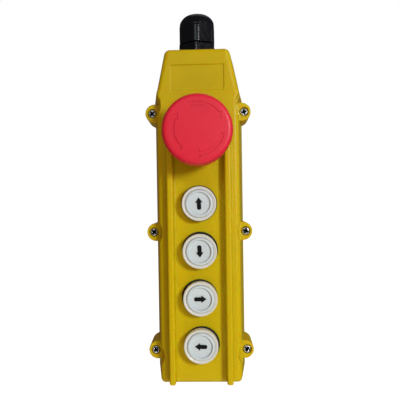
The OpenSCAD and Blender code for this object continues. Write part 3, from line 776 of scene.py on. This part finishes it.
def coil(r, wire_r, turns, low, high, steps=28, sides=10, end_rise=0.06):
    """A compression spring along h, with its end turns closed and ground flat."""
    count = turns * steps
    stations, rises = [0, 1 / turns, 1 - 1 / turns, 1], [0, end_rise, 1 - end_rise, 1]
    points, normals, faces = [], [], []
    for i in range(count + 1):
        a = 2 * math.pi * i / steps
        h = low + wire_r + (high - low - 2 * wire_r) * np.interp(i / count, stations, rises)
        for k in range(sides):
            s = 2 * math.pi * k / sides
            out = np.array([math.cos(s) * math.cos(a), math.sin(s), math.cos(s) * math.sin(a)])
            at = np.array([r * math.cos(a), h, r * math.sin(a)]) + out * wire_r
            at[1] = np.clip(at[1], low + wire_r * 0.5, high - wire_r * 0.5)
            points.append(at)
            normals.append(out)
    for i in range(count):
        for k in range(sides):
            n = (k + 1) % sides
            p, q = i * sides, (i + 1) * sides
            faces.append([p + k, p + n, q + n, q + k])
    faces.append(list(range(sides))[::-1])
    faces.append(list(range(count * sides, (count + 1) * sides)))
    return np.array(points), faces, np.array(normals), np.zeros(len(points))


# ----------------------------------------------------------------- materials


def nodes_of(name):
    """A new material, its node maker and its shader."""
    material = bpy.data.materials.new(name)
    material.use_nodes = True
    tree = material.node_tree
    shader = tree.nodes["Principled BSDF"]

    def node(kind, inputs=(), **settings):
        made = tree.nodes.new("ShaderNode" + kind)
        for key, value in settings.items():
            setattr(made, key, value)
        for key, value in dict(inputs).items():
            if isinstance(value, bpy.types.NodeSocket):
                tree.links.new(value, made.inputs[key])
            else:
                made.inputs[key].default_value = value
        return made

    return material, node, shader, tree


def shade(colour, factor):
    """A colour made lighter or darker."""
    return [min(1.0, c * factor) for c in colour[:3]] + [1.0]


def moulded(
    name, colour, rough, mottle=0.05, broad=14.0, grain=0.35, grain_depth=0.02,
    wear=None, corner_shade=None, dust=0.0, glow=None, specular=0.5,
):
    """Moulded plastic, rubber or metal: mottled colour, fine grain, worn edges, and painted shade
    darkening the concave corners.

    Broad and grain are the sizes in mm of the mottling and of the grain.
    """
    material, node, shader, tree = nodes_of(name)
    place = node("TexCoord").outputs["Object"]

    def noise(size, detail, offset=0.0):
        moved_to = node("Mapping", {"Vector": place, "Location": (offset, offset * 2, 0)})
        made = node(
            "TexNoise", {"Vector": moved_to.outputs[0], "Scale": 1 / (size * MM), "Detail": detail}
        )
        return made.outputs["Fac"]

    def mapped(value, low, high, to_low, to_high):
        made = node("MapRange", {
            "Value": value, "From Min": low, "From Max": high, "To Min": to_low, "To Max": to_high,
        })
        return made.outputs["Result"]

    def blend(factor, first, second):
        made = node("Mix", data_type="RGBA")
        for key, value in ((0, factor), (6, first), (7, second)):
            if isinstance(value, bpy.types.NodeSocket):
                tree.links.new(value, made.inputs[key])
            else:
                made.inputs[key].default_value = value
        return made.outputs[2]

    def times(a, b):
        made = node("Math", {0: a, 1: b}, operation="MULTIPLY")
        return made.outputs[0]

    edge = node("Attribute", attribute_name="edge").outputs["Fac"]
    broad_noise, patch_noise = noise(broad, 4.0), noise(2.2, 5.0, 3.7)
    light, dark = shade(colour, 1 + mottle), shade(colour, 1 - mottle)
    base = blend(mapped(broad_noise, 0.3, 0.7, 0.0, 1.0), dark, light)
    roughness = mapped(patch_noise, 0.3, 0.7, rough - 0.05, rough + 0.07)
    if wear:
        amount, tint = wear
        rubbed = times(
            mapped(edge, 0.15, 0.7, 0.0, amount), mapped(patch_noise, 0.35, 0.6, 0.2, 1.0)
        )
        base = blend(rubbed, base, list(tint) + [1.0])
    # Painted shade: concave corners and creases are darkened toward a shadow tint.
    if corner_shade:
        amount, tint = corner_shade
        corner_shaded = times(
            mapped(edge, -0.1, -0.6, 0.0, amount), mapped(patch_noise, 0.3, 0.6, 0.4, 1.0)
        )
        base = blend(corner_shaded, base, list(tint) + [1.0])
    if dust:
        specks = mapped(noise(0.9, 2.0, 8.1), 0.66, 0.74, 0.0, dust)
        base = blend(specks, base, (0.45, 0.43, 0.40, 1.0))
    fine, coarse = noise(grain, 2.0, 1.3), noise(grain * 7, 3.0, 5.9)
    height = node("Math", {0: fine, 1: times(coarse, 1.6)}, operation="ADD").outputs[0]
    bump = node("Bump", {"Height": height, "Strength": 0.6, "Distance": grain_depth * MM})
    tree.links.new(base, shader.inputs["Base Color"])
    tree.links.new(roughness, shader.inputs["Roughness"])
    tree.links.new(bump.outputs[0], shader.inputs["Normal"])
    shader.inputs["Specular IOR Level"].default_value = specular
    if glow:
        amount, radius = glow
        shader.inputs["Subsurface Weight"].default_value = amount
        shader.inputs["Subsurface Radius"].default_value = radius
        shader.inputs["Subsurface Scale"].default_value = MM
    return material, node, shader, tree


def metal(name, colour, rough, size=0.8, stretch=(1, 1, 1), grain_depth=0.01, recess_shade=None):
    """Plated or bare metal: brushed streaks, uneven gloss, painted shade in its hollows."""
    material, node, shader, tree = nodes_of(name)
    place = node("TexCoord").outputs["Object"]
    squeezed = node("Mapping", {"Vector": place, "Scale": stretch}).outputs[0]
    streaks = node("TexNoise", {"Vector": squeezed, "Scale": 1 / (size * MM), "Detail": 4.0})
    patches = node("TexNoise", {"Vector": place, "Scale": 1 / (3 * MM), "Detail": 3.0})
    roughness = node("MapRange", {
        "Value": streaks.outputs["Fac"], "From Min": 0.3, "From Max": 0.7,
        "To Min": rough - 0.06, "To Max": rough + 0.12,
    })
    mix = node("Mix", data_type="RGBA")
    tree.links.new(patches.outputs["Fac"], mix.inputs[0])
    mix.inputs[6].default_value = shade(colour, 0.85)
    mix.inputs[7].default_value = shade(colour, 1.1)
    bump = node("Bump", {
        "Height": streaks.outputs["Fac"], "Strength": 0.5, "Distance": grain_depth * MM,
    })
    base = mix.outputs[2]
    # Painted shade: points marked as deep hollows are darkened toward near black.
    if recess_shade:
        edge = node("Attribute", attribute_name="edge").outputs["Fac"]
        deep = node("MapRange", {"Value": edge, "From Min": -0.3, "From Max": -0.9})
        recess_shaded = node("Mix", data_type="RGBA")
        tree.links.new(deep.outputs["Result"], recess_shaded.inputs[0])
        tree.links.new(base, recess_shaded.inputs[6])
        recess_shaded.inputs[7].default_value = list(recess_shade) + [1.0]
        base = recess_shaded.outputs[2]
    tree.links.new(base, shader.inputs["Base Color"])
    tree.links.new(roughness.outputs["Result"], shader.inputs["Roughness"])
    tree.links.new(bump.outputs[0], shader.inputs["Normal"])
    shader.inputs["Metallic"].default_value = 1.0
    return material


# The shells and buttons get painted shade in their concave corners, tinted orange-brown on the
# yellow.
YELLOW = moulded(
    "yellow_shell", (0.70, 0.535, 0.002), 0.36, mottle=0.03, grain=0.4, grain_depth=0.018,
    wear=(0.1, (0.86, 0.66, 0.05)), corner_shade=(0.15, (0.40, 0.20, 0.006)),
    glow=(0.5, (3.0, 0.8, 0.03)), specular=0.2,
)[0]
RED = moulded(
    "red_mushroom", (0.88, 0.016, 0.055), 0.42, mottle=0.04, grain=0.3, grain_depth=0.02,
    wear=(0.1, (0.9, 0.06, 0.12)), corner_shade=(0.12, (0.5, 0.008, 0.02)),
    glow=(0.25, (1.2, 0.15, 0.15)), specular=0.45,
)[0]
WHITE = moulded(
    "white_bezel", (0.82, 0.83, 0.80), 0.34, mottle=0.03, grain=0.3, grain_depth=0.01,
    corner_shade=(0.4, (0.40, 0.34, 0.24)), glow=(0.15, (0.9, 0.8, 0.6)),
)[0]
CAP_WHITE = moulded(
    "white_cap", (0.72, 0.83, 0.90), 0.38, mottle=0.03, grain=0.3, grain_depth=0.012,
    corner_shade=(0.3, (0.40, 0.40, 0.38)), glow=(0.15, (0.8, 0.8, 0.7)),
)[0]
PRINT_BLACK = moulded(
    "arrow_black", (0.003, 0.003, 0.004), 0.55, mottle=0.2, broad=2.0, grain=0.2, grain_depth=0.01,
    specular=0.2,
)[0]
NYLON = moulded(
    "black_nylon", (0.006, 0.006, 0.009), 0.18, mottle=0.2, grain=0.5, grain_depth=0.015,
    wear=(0.15, (0.02, 0.02, 0.025)), dust=0.015, specular=0.4,
)[0]
BLACK = moulded(
    "black_plastic", (0.014, 0.014, 0.015), 0.42, mottle=0.15, grain=0.3, grain_depth=0.02,
    wear=(0.3, (0.06, 0.06, 0.06)),
)[0]
GREY = moulded(
    "grey_plastic", (0.105, 0.11, 0.12), 0.45, mottle=0.08, grain=0.4, grain_depth=0.02,
)[0]
RUBBER = moulded(
    "rubber", (0.011, 0.011, 0.011), 0.68, mottle=0.25, grain=0.25, grain_depth=0.03, dust=0.04,
    specular=0.3,
)[0]
# Plated steel, painted near black in the screws' cross recesses as painted shade
STEEL = metal(
    "plated_steel", (0.78, 0.80, 0.82), 0.24, size=0.5, recess_shade=(0.012, 0.011, 0.010)
)
SPRING_STEEL = metal("spring_steel", (0.52, 0.53, 0.55), 0.32, size=0.4)
BRASS = metal("brass", (0.72, 0.50, 0.20), 0.34, size=0.9, stretch=(6, 1, 1))

BY_SLOT = {
    "yellow_plastic": YELLOW, "red_plastic": RED, "white_plastic": WHITE, "white_cap": CAP_WHITE,
    "arrow_black": PRINT_BLACK, "black_nylon": NYLON, "black_plastic": BLACK,
    "grey_plastic": GREY, "rubber": RUBBER, "plated_steel": STEEL,
    "spring_steel": SPRING_STEEL, "brass": BRASS,
}
# Pieces that keep their CAD shape, by how their names begin
SLOT_OF_NODE = {
    "plunger": "black_plastic", "gland_locknut": "black_nylon", "cover_gasket": "rubber",
    "bezel_nuts": "grey_plastic", "stop_nut": "grey_plastic", "contact_block": "grey_plastic",
    "bridge": "brass", "fixed_contacts": "brass", "stop_contacts": "brass",
    "screw_inserts": "brass", "terminal_screws": "plated_steel", "block_screws": "plated_steel",
    "carrier": "plated_steel",
}


# -------------------------------------------------------------------- pieces


def show(name, mesh, slot, body, *stands_for):
    """A smooth piece that rides on a body and stands for CAD nodes."""
    points, faces, normals, edge = mesh
    data = bpy.data.meshes.new(name)
    data.from_pydata(to_row(points).tolist(), [], faces)
    data.update()
    data.shade_smooth()
    bends = data.attributes.new("edge", "FLOAT", "POINT")
    bends.data.foreach_set("value", edge.astype(np.float32))
    to_row_axes = np.array([1, -1, -1])
    data.normals_split_custom_set_from_vertices((normals * to_row_axes).tolist())
    data.materials.append(BY_SLOT[slot])
    piece = bpy.data.objects.new(name, data)
    bpy.context.scene.collection.objects.link(piece)
    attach(piece, body)
    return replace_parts(piece, *stands_for)


cover_lines = half_lines(-COVER_D - MARGIN, RIB_H + 0.9, [-COVER_D, -0.4])
cover = mould(cover_distance, cover_lines)
show("cover_shell", cover, "yellow_plastic", "enclosure", "front_cover")
rear_lines = half_lines(-BODY_D - MARGIN, -COVER_D + MARGIN, [-COVER_D])
rear = mould(rear_distance, rear_lines)
show("rear_shell", rear, "yellow_plastic", "enclosure", "rear_housing")

stop_step = 0.3
stop_across = grid_line(-STOP_R - MARGIN, STOP_R + MARGIN, stop_step)
stop_lines = [
    stop_across,
    grid_line(
        STOP_LOW - MARGIN, STOP_TOP + 0.6, 2 * stop_step, [STOP_TOP - 0.2], stop_step / 2, 0.6
    ),
    stop_across,
]
show(
    "mushroom", moved(mould(stop_head_distance, stop_lines), d=STOP_DROP), "red_plastic",
    "stop_mushroom", "stop_head",
)

arrow_reach = ARROW_LENGTH / 2 + 0.3
arrow_step = 0.14
arrow_across = grid_line(-arrow_reach, arrow_reach, arrow_step)
arrow_lines = [arrow_across, grid_line(-0.2, ARROW_T + 0.2, 0.08), arrow_across]
cap_arrow = mould(cap_arrow_distance, arrow_lines)
wire = coil(WIRE_R, WIRE, WIRE_TURNS, BARREL_LEDGE + WIRE_GAP, CAP_LOW - WIRE_GAP)
for button, drop in zip(BUTTONS, BUTTON_DROPS):
    body = "button_" + button
    bezel = turned(BEZEL, drop)
    show("bezel_ring_" + button, bezel, "white_plastic", "enclosure", "bezel_" + button)
    show("cap_face_" + button, turned(CAP, drop), "white_cap", body, "cap_" + button)
    arrow = moved(spun(cap_arrow, ARROW_TURNS[button]), h=DISH_FLOOR, d=drop)
    show("cap_arrow_" + button, arrow, "arrow_black", body, "arrow_" + button)
    spring = show(
        "cap_spring_" + button, moved(wire, d=drop), "spring_steel", "enclosure", "spring_" + button
    )
    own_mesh(spring)

gaskets = []
for drop, (right, down) in zip(BUTTON_DROPS, GASKET_BULGES):
    gasket = turned(ring(BARREL_R + 0.05, GASKET_R, 0, GASKET_T, 0.2), drop, steps=3)
    gaskets.append(squeezed_out(gasket, drop, right, down))
show("bezel_seals", together(gaskets), "rubber", "enclosure", "bezel_gaskets")

show("stop_collar_ring", turned(COLLAR, STOP_DROP), "black_plastic", "enclosure", "stop_collar")
show("stop_stem_rod", turned(SPINDLE, STOP_DROP), "grey_plastic", "stop_stem", "stop_spindle")
stop_seal = turned(ring(STOP_SEAL_IN, STOP_SEAL_OUT, 0, GASKET_T, 0.2), STOP_DROP)
show("stop_seal", stop_seal, "rubber", "enclosure", "stop_gasket")
stop_wire = coil(STOP_WIRE_R, STOP_WIRE, WIRE_TURNS, STOP_WIRE_LOW, STOP_WIRE_HIGH)
stop_wire = moved(stop_wire, d=STOP_DROP)
stop_spring = show("stop_coil", stop_wire, "spring_steel", "enclosure", "stop_spring")
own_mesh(stop_spring)

head_step = 0.13
head_across = grid_line(-SCREW_HEAD_R - 0.3, SCREW_HEAD_R + 0.3, head_step)
head_lines = [head_across, grid_line(-0.3, SCREW_HEAD_H + 0.3, head_step), head_across]
one_screw = together([
    with_shaded_cross(mould(screw_head_distance, head_lines)),
    threaded(SCREW_R, depth=0.3, pitch=0.5, low=-SCREW_LENGTH, high=0.05),
])
screws = []
for n, drop in enumerate(SCREW_DROPS):
    for side in (-1, 1):
        turn = SCREW_TURNS[2 * n + (side > 0)]
        screws.append(moved(spun(one_screw, turn), side * SCREW_X, SCREW_SEAT, drop))
show("cover_screw_set", together(screws), "plated_steel", "enclosure", "cover_screws")

gland_step = 0.32
gland_x = grid_line(-HEX_R - MARGIN, HEX_R + MARGIN, gland_step)
gland_h = grid_line(AXIS_H - HEX_R - MARGIN, AXIS_H + HEX_R + MARGIN, gland_step)
nut_lines = [gland_x, gland_h, grid_line(-NUT_HIGH - 0.7, -NUT_LOW + 0.7, gland_step)]
show(
    "dome_nut", mould(gland_nut_distance, nut_lines), "black_nylon", "enclosure", "gland_cap_nut"
)
body_lines = [gland_x, gland_h, grid_line(-SLEEVE_TOP - 0.7, -BODY_LOW + 0.7, gland_step)]
thread = threaded(
    THREAD_R, depth=0.6, pitch=1.5, low=THREAD_END, high=BODY_LOW + 0.1, sides=72, per_pitch=6
)
gland_base = together([mould(gland_body_distance, body_lines), upright(thread)])
show("gland_base", gland_base, "black_nylon", "enclosure", "gland_body")
gland_ring = upright(turned(ring(THREAD_R + 0.05, WASHER_R, 0, WASHER_T, 0.3)))
show("gland_ring", gland_ring, "rubber", "enclosure", "gland_washer")
cable_seal = upright(turned(ring(CABLE_R, SEAL_R - 0.05, BODY_HIGH + 0.05, SEAL_LENGTH, 0.6)))
show("cable_seal", cable_seal, "rubber", "enclosure", "gland_seal")

for name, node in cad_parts.items():
    for starts, its_slot in SLOT_OF_NODE.items():
        if name.startswith(starts) and not node.hide_render:
            node.data.materials.clear()
            node.data.materials.append(BY_SLOT[its_slot])

# ------------------------------------------------------- floor, light, camera

FLOOR_REACH, FLOOR_GAP = 3.0, 0.0004
floor_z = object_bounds()[0][2] - FLOOR_GAP
corners = [(-1, -1), (1, -1), (1, 1), (-1, 1)]
floor_mesh = bpy.data.meshes.new("floor")
floor_mesh.from_pydata(
    [(FLOOR_REACH * x, FLOOR_REACH * y, floor_z) for x, y in corners], [], [(0, 1, 2, 3)]
)
floor = bpy.data.objects.new("floor", floor_mesh)
bpy.context.scene.collection.objects.link(floor)
pale, _, pale_shader, _ = moulded(
    "pale_floor", (0.30, 0.30, 0.30), 0.8, mottle=0.01, broad=40, grain_depth=0.0
)
floor_mesh.materials.append(pale)
pale_shader.inputs["Emission Color"].default_value = (1, 1, 1, 1)
pale_shader.inputs["Emission Strength"].default_value = 1.0
floor.visible_diffuse = floor.visible_glossy = floor.visible_shadow = False


def area_light(name, towards, distance, size, power, colour=(1, 1, 1), target=(0, 0, -0.11)):
    """A soft square light in a direction from the object, facing it."""
    light = bpy.data.lights.new(name, "AREA")
    light.shape, light.size, light.energy, light.color = "SQUARE", size, power, colour
    lamp = bpy.data.objects.new(name, light)
    bpy.context.scene.collection.objects.link(lamp)
    away = Vector(towards).normalized()
    lamp.location = Vector(target) + away * distance
    lamp.rotation_euler = away.to_track_quat("Z", "Y").to_euler()
    return lamp


area_light("key", (0.62, -1.0, 0.26), distance=1.2, size=0.24, power=7.6, colour=(0.96, 1, 1))
area_light("overhead", (0.1, 0.5, 1.0), distance=1.6, size=1.0, power=1.0)
area_light(
    "under", (0.1, -0.9, -1.0), distance=0.45, size=0.4, power=0.55, colour=(1, 0.97, 0.9),
    target=(0, 0, -0.2),
)
area_light("rim", (1.0, 0.1, 0.15), distance=1.1, size=0.5, power=0.5)
area_light(
    "gland strip", (-0.15, -0.94, 0.3), distance=0.9, size=0.26, power=0.45,
    colour=(0.78, 0.92, 1.0), target=(0, 0, 0.01),
)

# Surfaces are lit by a warm room and mirror a dark one; the camera sees it white
world = bpy.data.worlds.new("studio")
bpy.context.scene.world = world
world.use_nodes = True
sky = world.node_tree
path = sky.nodes.new("ShaderNodeLightPath")


def room(colour, strength):
    """Surroundings of one colour."""
    made = sky.nodes.new("ShaderNodeBackground")
    made.inputs["Color"].default_value = (*colour, 1)
    made.inputs["Strength"].default_value = strength
    return made.outputs[0]


def either(ray, first, second):
    """The second surroundings for one kind of ray, and the first for all others."""
    made = sky.nodes.new("ShaderNodeMixShader")
    sky.links.new(path.outputs[ray], made.inputs[0])
    sky.links.new(first, made.inputs[1])
    sky.links.new(second, made.inputs[2])
    return made.outputs[0]


lit = either("Is Glossy Ray", room((1.0, 0.63, 0.32), 0.24), room((0.7, 0.8, 1.0), 0.06))
seen = either("Is Camera Ray", lit, room((1, 1, 1), 1.0))
sky.links.new(seen, sky.nodes["World Output"].inputs["Surface"])

# The camera stands 350 mm in front of the panel, level with the middle of the enclosure
CAMERA_AT = Vector((0.0051, -0.372, -0.1088))
PITCH, YAW, ROLL = -0.0198, 0.0386, -0.0158
camera_data = bpy.data.cameras.new("camera")
camera_data.lens, camera_data.sensor_width = 51.2, 36.0  # mm
camera_data.shift_x, camera_data.shift_y = 0.036, 0.041
camera_data.clip_start = 0.01
camera = bpy.data.objects.new("camera", camera_data)
right = Vector((math.cos(YAW), math.sin(YAW), 0))
level = Vector((-math.sin(YAW), math.cos(YAW), 0))
forward = level * math.cos(PITCH) + Vector((0, 0, math.sin(PITCH)))
up = right.cross(forward)
tilted_right = right * math.cos(ROLL) + up * math.sin(ROLL)
tilted_up = up * math.cos(ROLL) - right * math.sin(ROLL)
turn = Matrix((tilted_right, tilted_up, -forward)).transposed()
camera.matrix_world = Matrix.Translation(CAMERA_AT) @ turn.to_4x4()
bpy.context.scene.collection.objects.link(camera)
bpy.context.scene.camera = camera
bpy.context.scene.view_settings.view_transform = "Standard"
